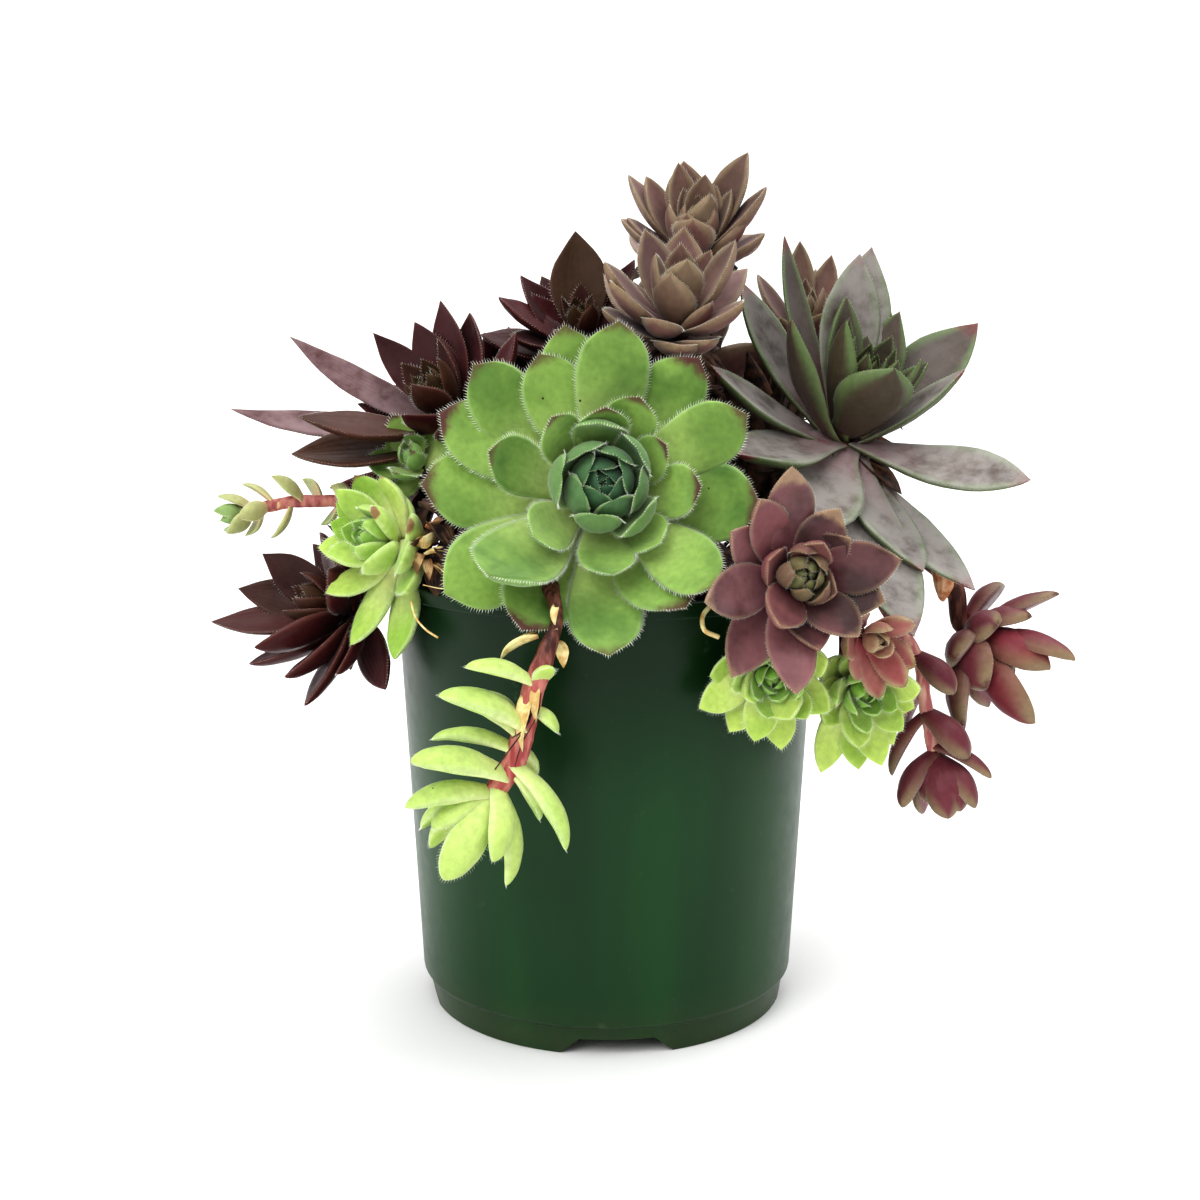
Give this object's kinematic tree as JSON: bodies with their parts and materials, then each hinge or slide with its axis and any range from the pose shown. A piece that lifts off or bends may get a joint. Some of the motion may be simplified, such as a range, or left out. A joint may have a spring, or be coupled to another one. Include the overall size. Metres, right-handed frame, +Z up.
{
  "type": "hens and chicks in a nursery pot",
  "caption": "Clump of hens-and-chicks succulent rosettes, green, mauve, grey and dark red, spilling over the rim of a plain round nursery pot.",
  "frame": {"origin": "on the ground, under the middle of the object's box; the pot's upright axis stands 7.1 mm to its left (-X) and 3.4 mm behind it (+Y)", "axes": "+Z up; -Y is the front, which the big green rosette faces; +X is to the right seen from the front"},
  "size_m": [0.1994, 0.137, 0.2011],
  "materials": {
    "pot_plastic": "satin",
    "potting_soil": "matte",
    "green_leaf": "satin",
    "lime_leaf": "satin",
    "mauve_leaf": "satin",
    "grey_leaf": "satin",
    "red_leaf": "satin",
    "rose_leaf": "satin",
    "stolon_skin": "matte",
    "dry_leaf": "matte"
  },
  "bodies": {
    "root": {"pot": "pot_plastic", "soil": "potting_soil", "green_hen": "green_leaf", "mauve_rosette_top": "mauve_leaf", "mauve_rosette_front": "mauve_leaf", "grey_hen": "grey_leaf", "rose_rosette": "rose_leaf", "red_rosette_middle": "red_leaf", "red_hen": "red_leaf", "red_rosette_low": "red_leaf", "green_chick_left": "lime_leaf", "green_chick_rear": "green_leaf", "lime_chick_left": "lime_leaf", "lime_chick_right": "lime_leaf", "pink_bud": "rose_leaf", "right_hanging_chick": "rose_leaf", "right_trailing_chick": "rose_leaf", "narrow_rosette_rear": "mauve_leaf", "dark_rosette_rear": "red_leaf", "mauve_hen_rear": "mauve_leaf", "red_hen_rear": "red_leaf", "green_chick_right": "green_leaf", "green_hen_rear": "green_leaf", "rose_rosette_rear": "rose_leaf", "red_rosette_rear": "red_leaf", "hanging_green_chick": "lime_leaf", "left_sprout": "lime_leaf", "green_hen_stem": "stolon_skin", "mauve_rosette_top_stem": "stolon_skin", "mauve_rosette_front_stem": "stolon_skin", "grey_hen_stem": "stolon_skin", "rose_rosette_stem": "stolon_skin", "red_rosette_middle_stem": "stolon_skin", "red_hen_stem": "stolon_skin", "red_rosette_low_stem": "stolon_skin", "green_chick_left_stem": "stolon_skin", "green_chick_rear_stem": "stolon_skin", "lime_chick_left_stem": "stolon_skin", "lime_chick_right_stem": "stolon_skin", "pink_bud_stem": "stolon_skin", "right_hanging_chick_stem": "stolon_skin", "narrow_rosette_rear_stem": "stolon_skin", "dark_rosette_rear_stem": "stolon_skin", "mauve_hen_rear_stem": "stolon_skin", "red_hen_rear_stem": "stolon_skin", "green_chick_right_stem": "stolon_skin", "green_hen_rear_stem": "stolon_skin", "rose_rosette_rear_stem": "stolon_skin", "red_rosette_rear_stem": "stolon_skin", "dry_leaf_left": "dry_leaf", "dry_leaf_front": "dry_leaf", "dry_leaf_right": "dry_leaf", "dry_leaf_rear": "dry_leaf"}
  },
  "joints": []
}
